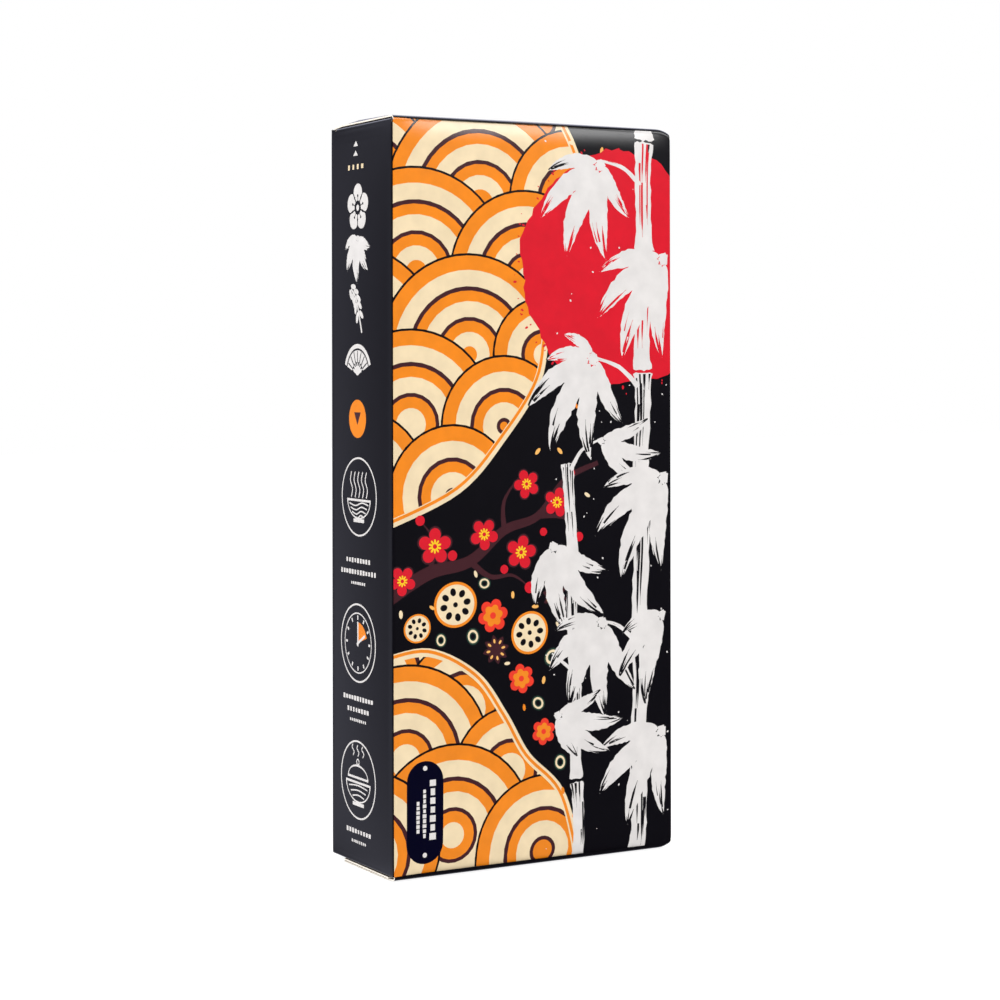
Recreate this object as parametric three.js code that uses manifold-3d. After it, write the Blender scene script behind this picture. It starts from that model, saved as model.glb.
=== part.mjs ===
// A shut paperboard carton for dried noodles, standing on its end.
// One printed blank is folded into a tube of four walls. A lid flap, hinged on the front wall, closes
// the top and tucks in behind the back wall. A closing flap, hinged on the front wall, is glued
// across the bottom, over an inner flap hinged on the back wall. The pack is shut, so it is one
// solid: its outside with the slits, steps and raw board edges that show. Units are millimetres, +Z
// is up, the front wall faces -Y, and the origin is the middle of the footprint on the surface that
// the carton stands on.

import * as THREE from "three";
import { mergeVertices } from "three/addons/utils/BufferGeometryUtils.js";
import Module from "manifold-3d";

// Driving dimensions. HEIGHT is taken at the corners: the lid flap arches up between them.
const WIDTH = 100;
const DEPTH = 43;
const HEIGHT = 230.5;
const BOARD = 0.45;
const FOLD_RADIUS = 0.8;

// The walls bow outwards between their folds, and lean in a little beside the end folds.
const WALL_BOW = 0.5;
const SIDE_BOW = 0.3;
const LEAN = 0.35;
const LEAN_REACH = 6;

// The lid flap arches across the width and over the depth, and rolls over into the front wall.
const ARCH_ACROSS = 0.45;
const ARCH_OVER = 0.6;
const LID_ROLL = 1.4;
const BASE_ROLL = 1.3;

// The two right-hand corners of the front are knocked in.
const KNOCK_DROP = 1.85;
const KNOCK_REACH = 4.5;
const KNOCK_BACK = 9;

// Slits between the flaps and the folded tops and bottoms of the side walls
const SLIT_DEPTH = 2.5;
const LID_SLIT = 0.5;
const BASE_SLIT = 0.12;
const SLIT_START = 0.55;
const LID_SLIT_STOP = 3.4;
const FLAP_INSET = 0.35;
const SIDE_FOLD = 0.6;

// The closing flap lies under the inner flap, and stops short of the back wall. It bulges down
// behind its fold, so that the carton stands on it and the fold is clear of the floor.
const CLOSING_FLAP_STOP = 6.5;
const BULGE = 0.5;
const BULGE_REACH = 7;
const BASE_LAYER = BOARD + 0.05;
const INNER_LAYER = BULGE + BASE_LAYER;
const WALL_FOOT = BULGE + 2 * BASE_LAYER;
const BACK_FOLD = 1.2;

// The inner flap is cut narrower beside its own fold.
const NOTCH = 2.5;

// The lid flap folds down inside the back wall.
const TUCK_ROLL = 1.2;

// The glued seam is a fine groove beside the raw edge of the right wall.
const SEAM_WIDTH = 0.25;
const SEAM_DEPTH = 0.3;
const SEAM_END = 5;

const OVER = 2; // how far a cutting tool runs past the surface that it cuts
const HAIR = 0.001; // the width of a step in a cutting tool
const HALF_W = WIDTH / 2;
const HALF_D = DEPTH / 2;

// The share of a drop that is left at a distance from the edge: 1 at the edge, 0 from reach on.
const fade = (distance, reach) => Math.max(0, 1 - Math.max(0, distance) / reach) ** 2;

// How far a quarter round has fallen at a distance from the edge that it rolls over.
function roll(distance, radius) {
  const left = Math.max(0, radius - Math.max(0, distance));
  return radius - Math.sqrt(radius ** 2 - left ** 2);
}

const knock = (x, y) =>
  KNOCK_DROP * fade(HALF_W - x, KNOCK_REACH) * fade(HALF_D + y, KNOCK_BACK);

function arch(x, y) {
  return ARCH_ACROSS * (1 - (x / HALF_W) ** 2) + ARCH_OVER * (1 - (y / HALF_D) ** 2);
}

const lidHeight = (x, y) => HEIGHT + arch(x, y) - roll(HALF_D + y, LID_ROLL) - knock(x, y);
const wallFoot = (x, y) => WALL_FOOT + knock(x, y);

function baseHeight(x, y) {
  const clear = BULGE * fade(HALF_D + y - BASE_ROLL, BULGE_REACH);
  return roll(HALF_D + y, BASE_ROLL) + clear + knock(x, y);
}

// The inside of the lid flap's board, which rolls over with a smaller radius.
function lidUnderside(x, y) {
  const inRoll = roll(HALF_D + y - BOARD, LID_ROLL - BOARD);
  return HEIGHT + arch(x, y) - BOARD - inRoll - knock(x, y);
}

// Places from one edge to the other, closer together near the edges: the insets are counted from
// each edge, and the middle stretch is split into equal steps.
function stations(half, insets, middleSteps) {
  const inner = half - insets.at(-1);
  const low = insets.map((inset) => inset - half);
  const middle = Array.from(
    { length: middleSteps - 1 },
    (_, i) => -inner + (2 * inner * (i + 1)) / middleSteps,
  );
  const high = insets.map((inset) => half - inset).reverse();
  return [...low, ...middle, ...high];
}

// Equal steps from one place to another.
function steps(from, to, count) {
  return Array.from({ length: count + 1 }, (_, i) => from + ((to - from) * i) / count);
}

// A closed box whose grid lines run through the given places, with each vertex moved by place().
function shapedBox(xs, ys, zs, place) {
  const box = new THREE.BoxGeometry(1, 1, 1, xs.length - 1, ys.length - 1, zs.length - 1);
  box.deleteAttribute("normal");
  box.deleteAttribute("uv");
  const geometry = mergeVertices(box, 1e-5);
  const at = geometry.getAttribute("position");
  const pick = (places, share) => places[Math.round((share + 0.5) * (places.length - 1))];
  for (let i = 0; i < at.count; i++) {
    const [x, y, z] = place(pick(xs, at.getX(i)), pick(ys, at.getY(i)), pick(zs, at.getZ(i)));
    at.setXYZ(i, x, y, z);
  }
  return geometry;
}

// Rounds the four upright folds: a place in the plan's corner square goes onto the fold's arc.
function roundFold(x, y) {
  const coreX = THREE.MathUtils.clamp(x, FOLD_RADIUS - HALF_W, HALF_W - FOLD_RADIUS);
  const coreY = THREE.MathUtils.clamp(y, FOLD_RADIUS - HALF_D, HALF_D - FOLD_RADIUS);
  const out = Math.hypot(x - coreX, y - coreY);
  if (out === 0) return [x, y];
  const reach = Math.max(Math.abs(x - coreX), Math.abs(y - coreY));
  return [coreX + ((x - coreX) * reach) / out, coreY + ((y - coreY) * reach) / out];
}

// The outside of the folded carton, with no slits in it. The third place is a share of the height.
function foldedOutside() {
  const insets = [0, 0.15, 0.4, 0.8, 1.3, 2.2, 3.5, 5, 9];
  const xs = stations(HALF_W, insets, 9);
  const ys = stations(HALF_D, insets, 4);
  const heights = [0, 1, 2.2, 4, 6, 15, 40, 80].map((z) => z / HEIGHT);
  const shares = [...heights, 0.5, ...heights.map((share) => 1 - share).reverse()];
  return shapedBox(xs, ys, shares, (x, y, share) => {
    const [planX, planY] = roundFold(x, y);
    const belly = 1 - (2 * share - 1) ** 4;
    const lean = LEAN * fade(HEIGHT * Math.min(share, 1 - share), LEAN_REACH);
    const acrossX = 1 - (planX / HALF_W) ** 2;
    const acrossY = 1 - (planY / HALF_D) ** 2;
    const outX = (planX / HALF_W) * acrossY * (SIDE_BOW * belly - lean);
    const outY = (planY / HALF_D) * acrossX * (WALL_BOW * belly - lean);
    const low = baseHeight(planX, planY);
    const high = lidHeight(planX, planY);
    return [planX + outX, planY + outY, low + (high - low) * share];
  });
}

// The places across a side cut, from its inner end to past the wall, on the left or the right.
function acrossSide(side) {
  const insets = [SLIT_DEPTH, SIDE_FOLD, 0.6 * SIDE_FOLD, 0.3 * SIDE_FOLD, 0.1 * SIDE_FOLD, 0, -OVER];
  return insets.map((inset) => side * (HALF_W - inset)).sort((a, b) => a - b);
}

// The top of a side wall, where it folds in under the lid flap.
function sideWallTop(x, y) {
  const share = (HALF_D + y) / (DEPTH - LID_SLIT_STOP);
  const open = Math.sqrt(Math.max(0, Math.sin(Math.PI * THREE.MathUtils.clamp(share, 0, 1))));
  const under = lidUnderside(x, Math.max(y, SLIT_START - HALF_D));
  const slit = LID_SLIT * (0.12 + 0.88 * open);
  return under - slit - roll(HALF_W - Math.abs(x), SIDE_FOLD);
}

// A slit along one side, between the lid flap's board and the side wall's folded top.
function lidSlit(side) {
  const ys = [SLIT_START, 0.8, 1.4, 2.4, 4].map((inset) => inset - HALF_D);
  ys.push(...steps(7 - HALF_D, HALF_D - LID_SLIT_STOP, 8));
  return shapedBox(acrossSide(side), ys, [0, 1], (x, y, upper) => [
    x,
    y,
    upper ? lidUnderside(x, y) : sideWallTop(x, y),
  ]);
}

// Cuts the lid flap's raw side edge back from the face of the side wall.
function lidTrim(side) {
  const insets = [FLAP_INSET, 0.1 * SIDE_FOLD, 0, -OVER];
  const xs = insets.map((inset) => side * (HALF_W - inset)).sort((a, b) => a - b);
  const ys = [-OVER, SLIT_START, 0.8, 1.4, 2.4, 4].map((inset) => inset - HALF_D);
  ys.push(...steps(7 - HALF_D, HALF_D - LID_SLIT_STOP - HAIR, 8));
  return shapedBox(xs, ys, [0, 1], (x, y, upper) => [
    x,
    y,
    upper ? HEIGHT + OVER : sideWallTop(x, y) + 0.05,
  ]);
}

// Cuts the raw side edges of the base's flaps back, under the side wall's folded bottom.
function baseTrim(side) {
  const insets = [FLAP_INSET, 0.1 * SIDE_FOLD, 0, -OVER];
  const xs = insets.map((inset) => side * (HALF_W - inset)).sort((a, b) => a - b);
  const ys = [-OVER, 0, 1.3, 4].map((inset) => inset - HALF_D);
  ys.push(...steps(9 - HALF_D, HALF_D + OVER, 8));
  return shapedBox(xs, ys, [0, 1], (x, y, upper) => {
    const over = wallFoot(Math.min(x, HALF_W), y) + roll(HALF_W - Math.abs(x), SIDE_FOLD);
    return [x, y, upper ? over : -OVER];
  });
}

// A fine slit along one side, over the base's two layers of board.
function baseSlit(side) {
  const ys = [BASE_ROLL, 4].map((inset) => inset - HALF_D);
  ys.push(...steps(9 - HALF_D, HALF_D - BACK_FOLD, 7));
  return shapedBox(acrossSide(side), ys, [0, 1], (x, y, upper) => {
    const over = wallFoot(Math.min(x, HALF_W), y);
    return [x, y, upper ? over + roll(HALF_W - Math.abs(x), SIDE_FOLD) : over - BASE_SLIT];
  });
}

// The notch beside the inner flap's fold, from the closing flap's free edge to past the back wall.
function innerFlapNotch(side) {
  const xs = [HALF_W - NOTCH, HALF_W + OVER].map((x) => side * x).sort((a, b) => a - b);
  const ys = [HALF_D - CLOSING_FLAP_STOP, HALF_D + OVER];
  return shapedBox(xs, ys, [-OVER, WALL_FOOT - BASE_SLIT], (x, y, z) => [x, y, z]);
}

// Bares the strip of the inner flap that the closing flap doesn't cover, which rolls over into the
// back wall.
function baseStep() {
  const xs = stations(HALF_W + OVER, [0, OVER, OVER + 4, OVER + 8], 2);
  const insets = [CLOSING_FLAP_STOP, BACK_FOLD, 0.6 * BACK_FOLD, 0.3 * BACK_FOLD, 0.1 * BACK_FOLD];
  const ys = [...insets, 0, -OVER].map((inset) => HALF_D - inset);
  return shapedBox(xs, ys, [0, 1], (x, y, upper) => {
    return [x, y, upper ? INNER_LAYER + roll(HALF_D - y, BACK_FOLD) : -OVER];
  });
}

// The groove between the raw top edge of the back wall and the lid flap, which rolls down into it.
function tuckGroove() {
  const inside = HALF_D - BOARD;
  const ys = steps(inside - TUCK_ROLL, inside, 5);
  const xs = stations(HALF_W - FOLD_RADIUS, [0, 4, 9, 14], 4);
  return shapedBox(xs, ys, [0, 1], (x, y, upper) => [
    x,
    y,
    lidHeight(x, y) + (upper ? OVER : -roll(inside - y, TUCK_ROLL) - 0.01),
  ]);
}

// The glued seam, beside the right wall's raw edge on the back of the carton.
function seamGroove() {
  const xs = [HALF_W - FOLD_RADIUS - SEAM_WIDTH, HALF_W - FOLD_RADIUS];
  const ys = [HALF_D - SEAM_DEPTH, HALF_D + OVER];
  return shapedBox(xs, ys, [SEAM_END, HEIGHT - SEAM_END], (x, y, z) => [x, y, z]);
}

const wasm = await Module();
wasm.setup();

function toSolid(geometry) {
  const vertProperties = new Float32Array(geometry.getAttribute("position").array);
  const triVerts = new Uint32Array(geometry.index.array);
  return new wasm.Manifold(new wasm.Mesh({ numProp: 3, vertProperties, triVerts }));
}

function toGeometry(solid) {
  const mesh = solid.getMesh();
  const geometry = new THREE.BufferGeometry();
  geometry.setAttribute("position", new THREE.BufferAttribute(mesh.vertProperties, 3));
  geometry.setIndex(new THREE.BufferAttribute(mesh.triVerts, 1));
  geometry.computeVertexNormals();
  return geometry;
}

function cartonGeometry() {
  const sides = [-1, 1].flatMap((side) => [
    lidSlit(side),
    lidTrim(side),
    baseSlit(side),
    baseTrim(side),
    innerFlapNotch(side),
  ]);
  const cuts = [...sides, baseStep(), tuckGroove(), seamGroove()];
  const solid = cuts.reduce((rest, cut) => rest.subtract(toSolid(cut)), toSolid(foldedOutside()));
  return toGeometry(solid);
}

const printedBoard = new THREE.MeshStandardMaterial({
  color: 0x1b191e,
  roughness: 0.5,
  metalness: 0,
});

const carton = new THREE.Mesh(cartonGeometry(), printedBoard);
carton.name = "carton";

const pack = new THREE.Group();
pack.add(carton);

export default pack;
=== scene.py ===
import random
from math import atan2, cos, dist, hypot, pi, radians, sin, sqrt

import bpy
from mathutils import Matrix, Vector, geometry
from mathutils.bvhtree import BVHTree


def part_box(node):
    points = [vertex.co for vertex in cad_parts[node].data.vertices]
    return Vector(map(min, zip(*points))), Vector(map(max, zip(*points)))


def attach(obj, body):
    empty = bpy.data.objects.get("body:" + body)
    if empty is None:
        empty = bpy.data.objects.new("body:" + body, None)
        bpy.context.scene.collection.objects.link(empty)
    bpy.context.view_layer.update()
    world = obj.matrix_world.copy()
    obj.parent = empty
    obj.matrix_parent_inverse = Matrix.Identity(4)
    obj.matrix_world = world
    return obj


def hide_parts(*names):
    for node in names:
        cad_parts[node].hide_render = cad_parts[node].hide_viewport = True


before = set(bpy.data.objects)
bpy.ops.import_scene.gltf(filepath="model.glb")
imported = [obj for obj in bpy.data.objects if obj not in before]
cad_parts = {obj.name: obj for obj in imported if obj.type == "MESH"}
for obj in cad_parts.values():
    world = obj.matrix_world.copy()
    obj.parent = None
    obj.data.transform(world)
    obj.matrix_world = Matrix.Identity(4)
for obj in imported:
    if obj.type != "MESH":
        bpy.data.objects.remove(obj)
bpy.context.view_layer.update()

# The board and its folds
# The real carton is one sheet of coated board, creased, folded round and glued down a back corner.
# It is drawn flat first, in millimetres: u runs round the walls from the near left fold, v up from
# the front wall's bottom fold. place() then says where a point of the sheet lies once folded.
MM = 0.001
BOARD = 0.45

# The walls bow out in the middle and lean in at both ends, sharply beside the fold and slightly
# over a longer reach. A side wall leans less, and swells beside its upright folds.
WALL_BOW = 0.5
SIDE_BOW = 0.3
LEAN = 0.7
LEAN_REACH = 6
SLOPE = 0.5
SLOPE_REACH = 26
SIDE_LEAN_SHARE = 0.4
SWELL = 0.15
SWELL_REACH = 1.8

# The lid flap arches both ways and comes down at the back. A slit parts it from each side wall as
# far as a shoulder, and is narrow at its ends. The walls take up the arch over a settling length.
ARCH_ACROSS = 0.45
ARCH_OVER = 0.6
BACK_DROP = 0.8
BACK_DROP_REACH = 22
LID_SLIT = 0.8
SLIT_START = 0.55
SLIT_AT_ENDS = 0.12
SHOULDER = 3.4
SETTLE = 15
SIDE_SETTLE = 25

# The base bulges, so the carton stands on its closing flap. The inner flap sags, and the dust flaps
# droop. The two right-hand corners of the front are knocked in.
BULGE = 0.5
BULGE_REACH = 7
INNER_SAG = 0.4
DROOP = 0.12
KNOCK_DROP = 1.85
KNOCK_REACH = 4.5
KNOCK_BACK = 9

# The radius of each fold on the printed face.
LID_ROLL = 1.4
BASE_ROLL = 1.3
BACK_ROLL = 1.2
TUCK_ROLL = 1.2
SIDE_ROLL = 0.6
FOLD_ROUND = 0.8

box_low, box_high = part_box("carton")
WIDTH = round((box_high.x - box_low.x) / MM - 2 * SIDE_BOW, 1)
DEPTH = round((box_high.y - box_low.y) / MM - 2 * WALL_BOW, 1)
HEIGHT = round(box_high.z / MM - BULGE - ARCH_ACROSS - ARCH_OVER, 1)
HALF_W = WIDTH / 2
HALF_D = DEPTH / 2

# Where the folds lie on the sheet. Flaps that lie one over the other keep a small gap, and a side
# wall's flaps start at a corner a little inside the upright fold.
QUARTER = pi / 2
FLAP_GAP = 0.05
SIDE_TOP_DROP = 1.6
SEAM_INSET = 0.9
TOP_FOLD = HEIGHT - LID_ROLL
BASE_FOLD = BASE_ROLL
LID_START = TOP_FOLD + QUARTER * LID_ROLL
TUCK_FOLD = LID_START + DEPTH - BOARD - TUCK_ROLL - LID_ROLL
SIDE_TOP_FOLD = HEIGHT - SIDE_TOP_DROP
SIDE_BASE_FOLD = 2 * (BOARD + FLAP_GAP) + SIDE_ROLL
BACK_BASE_FOLD = BOARD + FLAP_GAP + BACK_ROLL
TAB_FOLD = SEAM_INSET - DEPTH - WIDTH
CORNER = 0.6
CUT_SLACK = 0.05


def clamp(value, low=0.0, high=1.0):
    return min(max(value, low), high)


def fade(distance, reach):
    """The share that is left at a distance from an edge: 1 at the edge, 0 from reach on."""
    return max(0.0, 1 - max(0.0, distance) / reach) ** 2


def turn(length, radius):
    """How far across and how far along a length of board goes that rolls through a quarter round."""
    angle = clamp(length / radius, 0, QUARTER)
    straight = max(0.0, length - QUARTER * radius)
    return radius * (1 - cos(angle)) + straight, radius * sin(angle)


def fallen(distance, radius):
    """How far a quarter round has fallen at a distance from the edge that it rolls over."""
    left = max(0.0, radius - max(0.0, distance))
    return radius - sqrt(radius**2 - left**2)


def knock(x, y):
    """How far the two right-hand corners of the front are pushed in."""
    return KNOCK_DROP * fade(HALF_W - x, KNOCK_REACH) * fade(HALF_D + y, KNOCK_BACK)


def arch(x, y):
    """How far the lid flap stands up over its edges. It comes down a little towards the back."""
    rise = ARCH_ACROSS * (1 - (x / HALF_W) ** 2) + ARCH_OVER * (1 - (y / HALF_D) ** 2)
    return rise - BACK_DROP * fade(HALF_D - y, BACK_DROP_REACH)


def front_point(u, v):
    """The front wall, with the lid flap and its tuck above it and the base's closing flap below."""
    inward, rise = turn(min(v, TUCK_FOLD) - TOP_FOLD, LID_ROLL)
    drop, ahead = turn(v - TUCK_FOLD, TUCK_ROLL)
    base_inward, base_drop = turn(BASE_FOLD - v, BASE_ROLL)
    x = u - HALF_W
    y = inward + ahead + base_inward - HALF_D
    z = clamp(v, BASE_FOLD, TOP_FOLD) + rise - drop - base_drop
    z += fade(TOP_FOLD - v, SETTLE) * (arch(x, y) - knock(x, y))
    z += fade(v - BASE_FOLD, SETTLE) * knock(x, y)
    z -= BULGE * (1 - fade(base_inward - BASE_ROLL, BULGE_REACH))
    return x, y, z


def side_lift(x, y):
    """How far a side wall's top fold and dust flap rise to follow the lid flap, less the slit."""
    under = HEIGHT + arch(x, y) - BOARD
    under -= fallen(HALF_D + max(y, SLIT_START - HALF_D) - BOARD, LID_ROLL - BOARD)
    share = clamp((HALF_D + y) / (DEPTH - SHOULDER))
    slit = LID_SLIT * (SLIT_AT_ENDS + (1 - SLIT_AT_ENDS) * sqrt(sin(pi * share)))
    lift = under - slit - SIDE_ROLL - SIDE_TOP_FOLD
    return lift * clamp((HALF_D - y) / SHOULDER) * clamp((HALF_D + y) / CORNER)


def side_point(side, across, v):
    """A side wall, with its dust flaps. Across is the distance from the front fold."""
    inward, rise, base_inward, base_drop = 0, v - SIDE_TOP_FOLD, 0, SIDE_BASE_FOLD - v
    if CORNER - CUT_SLACK < across < DEPTH - SHOULDER + CUT_SLACK:
        inward, rise = turn(v - SIDE_TOP_FOLD, SIDE_ROLL)
    if CORNER - CUT_SLACK < across < DEPTH - CORNER + CUT_SLACK:
        base_inward, base_drop = turn(SIDE_BASE_FOLD - v, SIDE_ROLL)
    x = side * (HALF_W - inward - base_inward)
    y = across - HALF_D
    z = clamp(v, SIDE_BASE_FOLD, SIDE_TOP_FOLD) + max(rise, 0) - max(base_drop, 0)
    z -= DROOP * max(inward - SIDE_ROLL, 0)
    z += fade(SIDE_TOP_FOLD - v, SIDE_SETTLE) * side_lift(x, y)
    z -= fade(TOP_FOLD - v, SETTLE) * knock(x, y)
    z += fade(v - BASE_FOLD, SETTLE) * knock(x, y)
    return x, y, z


def back_point(u, v):
    """The back wall, with the glue tab inside the right wall and the base's inner flap below."""
    inward, drop = turn(BACK_BASE_FOLD - v, BACK_ROLL)
    tab_inward, ahead = turn(TAB_FOLD - u, BOARD)
    x = -DEPTH - HALF_W - max(u, TAB_FOLD) + ahead
    y = HALF_D - inward - tab_inward
    z = max(v, BACK_BASE_FOLD) - drop - INNER_SAG * (1 - fade(inward - BACK_ROLL, BULGE_REACH))
    z += fade(HEIGHT - v, SETTLE) * ARCH_ACROSS * (1 - (x / HALF_W) ** 2)
    return x, y, z


def fold_rounding(u):
    """How far an upright fold's round takes a point off the square corner. The seam stays square."""
    plan_x = clamp(u, 0, WIDTH) - HALF_W
    plan_y = -HALF_D + max(0, -u, u - WIDTH)
    if u < -DEPTH:
        plan_x = -DEPTH - HALF_W - u
        plan_y = HALF_D
    core_x = clamp(plan_x, FOLD_ROUND - HALF_W, HALF_W - FOLD_ROUND)
    core_y = clamp(plan_y, FOLD_ROUND - HALF_D, HALF_D - FOLD_ROUND)
    off_x = plan_x - core_x
    off_y = plan_y - core_y
    out = hypot(off_x, off_y)
    if out == 0 or u < -DEPTH - WIDTH / 2 or u > WIDTH + DEPTH / 2:
        return 0, 0
    scale = max(abs(off_x), abs(off_y)) / out
    return off_x * (scale - 1), off_y * (scale - 1)


def place(u, v):
    """Where a point of the flat sheet's printed face lies on the folded carton, in millimetres."""
    if u < -DEPTH:
        x, y, z = back_point(u, v)
    elif u < 0:
        x, y, z = side_point(-1, -u, v)
    elif u <= WIDTH:
        x, y, z = front_point(u, v)
    else:
        x, y, z = side_point(1, u - WIDTH, v)
    on_wall = fade(v - TOP_FOLD, LID_ROLL) * fade(BASE_FOLD - v, BASE_ROLL)
    round_x, round_y = fold_rounding(u)
    x += on_wall * round_x
    y += on_wall * round_y
    share = clamp((v - BASE_FOLD) / (TOP_FOLD - BASE_FOLD))
    belly = 1 - (2 * share - 1) ** 4
    from_end = HEIGHT * min(share, 1 - share)
    lean = LEAN * fade(from_end, LEAN_REACH) + SLOPE * fade(from_end, SLOPE_REACH)
    across_x = 1 - (x / HALF_W) ** 2
    across_y = 1 - (y / HALF_D) ** 2
    lean_x = SIDE_LEAN_SHARE * lean * max(across_y, 0)
    # The wide walls lean in nearly all the way across, and stop just short of the upright folds.
    lean_y = lean * max(1 - (x / HALF_W) ** 8, 0)
    swell = SWELL * (1 - fade(HALF_D - abs(y), SWELL_REACH)) if v < SIDE_TOP_FOLD else 0
    out_x = (x / HALF_W) * (max(across_y, 0) * SIDE_BOW * belly + swell * belly - lean_x)
    out_y = (y / HALF_D) * (max(across_x, 0) * WALL_BOW * belly - lean_y)
    return Vector((x + out_x, y + out_y, z + BULGE))


# The die-cut outline
# The walls stand side by side, with the glue tab at the left end, the lid flap and its tuck above
# the front, dust flaps above and below the side walls, and the two flaps of the base below. Fine
# relief slits part the flaps, which lets each one fold by itself.
TUCK_LENGTH = 12
TAB_LENGTH = 12
INNER_FLAP_LENGTH = 38
DUST_LENGTH = 11
LOWER_DUST_LENGTH = 6
CLOSING_STOP = 6.5
FLAP_INSET = 0.35
NOTCH = 2.5
RELIEF = 0.2
BASE_ROUND_END = BASE_FOLD - QUARTER * BASE_ROLL
BACK_ROUND_END = BACK_BASE_FOLD - QUARTER * BACK_ROLL
LID_END = TUCK_FOLD + QUARTER * TUCK_ROLL + TUCK_LENGTH
CLOSING_END = BASE_ROUND_END - (DEPTH - BASE_ROLL - CLOSING_STOP)
FREE_EDGE = BACK_ROUND_END - (CLOSING_STOP - BACK_ROLL)
INNER_FLAP_END = BACK_ROUND_END - INNER_FLAP_LENGTH
DUST_END = SIDE_TOP_FOLD + QUARTER * SIDE_ROLL + DUST_LENGTH
LOWER_DUST_END = SIDE_BASE_FOLD - QUARTER * SIDE_ROLL - LOWER_DUST_LENGTH
BACK_TOP = HEIGHT - BACK_DROP
SHOULDER_TOP = BACK_TOP - 0.3


def side_top(start, side):
    """The top edge of a side wall and its dust flap, from the front fold to the back."""
    slit = DEPTH - SHOULDER
    steps = [
        (CORNER, SIDE_TOP_FOLD + CUT_SLACK),
        (CORNER, DUST_END - 1.5),
        (CORNER + 1.5, DUST_END),
        (slit - 3, DUST_END - 3),
        (slit - RELIEF, DUST_END - 6),
        (slit - RELIEF, SIDE_TOP_FOLD - 0.2),
        (slit, SIDE_TOP_FOLD - 0.2),
        (slit, SHOULDER_TOP),
        (DEPTH - (0 if side < 0 else RELIEF), SHOULDER_TOP),
    ]
    return [(start + side * across, v) for across, v in steps]


def side_base(start, side):
    """The bottom edge of a side wall and its dust flap, from the front fold to the back."""
    steps = [
        (CORNER, SIDE_BASE_FOLD - 0.15),
        (CORNER, LOWER_DUST_END),
        (DEPTH - CORNER, LOWER_DUST_END),
        (DEPTH - CORNER, SIDE_BASE_FOLD - CUT_SLACK),
        (DEPTH - (0 if side < 0 else RELIEF), SIDE_BASE_FOLD - CUT_SLACK),
    ]
    return [(start + side * across, v) for across, v in steps]


def blank_outline():
    """The die-cut outline of the whole sheet, anticlockwise."""
    tab_end = TAB_FOLD - QUARTER * BOARD - TAB_LENGTH
    left = [(tab_end, 14), (TAB_FOLD - 0.7, 2.3), (TAB_FOLD + 0.1, 2.3)]
    half_flap = [
        (0.1, SIDE_BASE_FOLD - CUT_SLACK),
        (NOTCH, SIDE_BASE_FOLD - CUT_SLACK),
        (NOTCH, FREE_EDGE + 0.4),
        (FLAP_INSET, FREE_EDGE - 1.2),
        (FLAP_INSET, INNER_FLAP_END + 1),
        (2, INNER_FLAP_END),
    ]
    inner_flap = [(TAB_FOLD + inset, v) for inset, v in half_flap]
    inner_flap += [(-DEPTH - inset, v) for inset, v in reversed(half_flap[1:])]
    closing_left = [
        (0, BASE_FOLD + CUT_SLACK),
        (FLAP_INSET, BASE_FOLD + CUT_SLACK),
        (FLAP_INSET, CLOSING_END + 1.2),
        (FLAP_INSET + 1.2, CLOSING_END),
    ]
    closing_right = [(WIDTH - u, v) for u, v in reversed(closing_left)]
    lid_right = [
        (WIDTH, TOP_FOLD - CUT_SLACK),
        (WIDTH - FLAP_INSET, TOP_FOLD - CUT_SLACK),
        (WIDTH - FLAP_INSET, LID_START + DEPTH - 8),
        (WIDTH - FLAP_INSET - 0.25, TUCK_FOLD - 0.4),
        (WIDTH - 1.2, LID_END - 8),
        (WIDTH - 3.5, LID_END - 2.5),
        (WIDTH - 8, LID_END),
    ]
    lid_left = [(WIDTH - u, v) for u, v in reversed(lid_right)]
    tab_top = [(TAB_FOLD - 0.1, BACK_TOP), (TAB_FOLD - 0.8, HEIGHT - 3), (tab_end, HEIGHT - 14)]
    return [
        *left,
        *inner_flap,
        (-DEPTH, SIDE_BASE_FOLD - CUT_SLACK),
        *reversed(side_base(0, -1)[:-1]),
        *closing_left,
        *closing_right,
        *side_base(WIDTH, 1),
        *reversed(side_top(WIDTH, 1)),
        *lid_right,
        *lid_left,
        *side_top(0, -1),
        (-DEPTH, SHOULDER_TOP),
        (-DEPTH - 5, BACK_TOP),
        *tab_top,
    ]


# The print
# Offset ink under a matt film, in fields of flat colour. Shapes are laid on in order, as the
# press lays its colours, so a later one covers an earlier one. The design is a plain traditional
# one: waves, bamboo, a sun disc, blossoms and vegetables cut across.
INKS = {
    "black": "#0d0b12",
    "white": "#e6e2e0",
    "cream": "#f4deb6",
    "orange": "#f78a04",
    "maroon": "#472028",
    "red": "#df0022",
    "vermilion": "#f3341c",
    "yellow": "#ffd012",
    "amber": "#fcbb62",
    "navy": "#02011e",
    "green": "#28463a",
}
SUN = (81, 185)
SUN_RADIUS = 37
SHEET_LEFT = -170
SHEET_RIGHT = 160
SHEET_LOW = -60
SHEET_HIGH = 300
WHOLE_TURN = 2 * pi
draws = random.Random(29)
shapes = []
panels = []


def paint(ink, points):
    """Lays one simple shape of ink on the newest panel, which trims it at its edges."""
    area = sum(a[0] * b[1] - b[0] * a[1] for a, b in zip(points, [*points[1:], points[0]]))
    shapes.append((ink, panels[-1], list(points) if area > 0 else list(reversed(points))))


def rectangle(left, bottom, right, top):
    return [(left, bottom), (right, bottom), (right, top), (left, top)]


def begin_panel(left, bottom, right, top):
    """Starts the print of one panel of the sheet on a black ground."""
    panels.append((left, bottom, right, top))
    paint("black", rectangle(left, bottom, right, top))


def around(u, v, angle, reach, rise=None):
    """The point of a round at an angle. Rise is the reach upwards, where the two differ."""
    return u + reach * cos(angle), v + (reach if rise is None else rise) * sin(angle)


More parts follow.
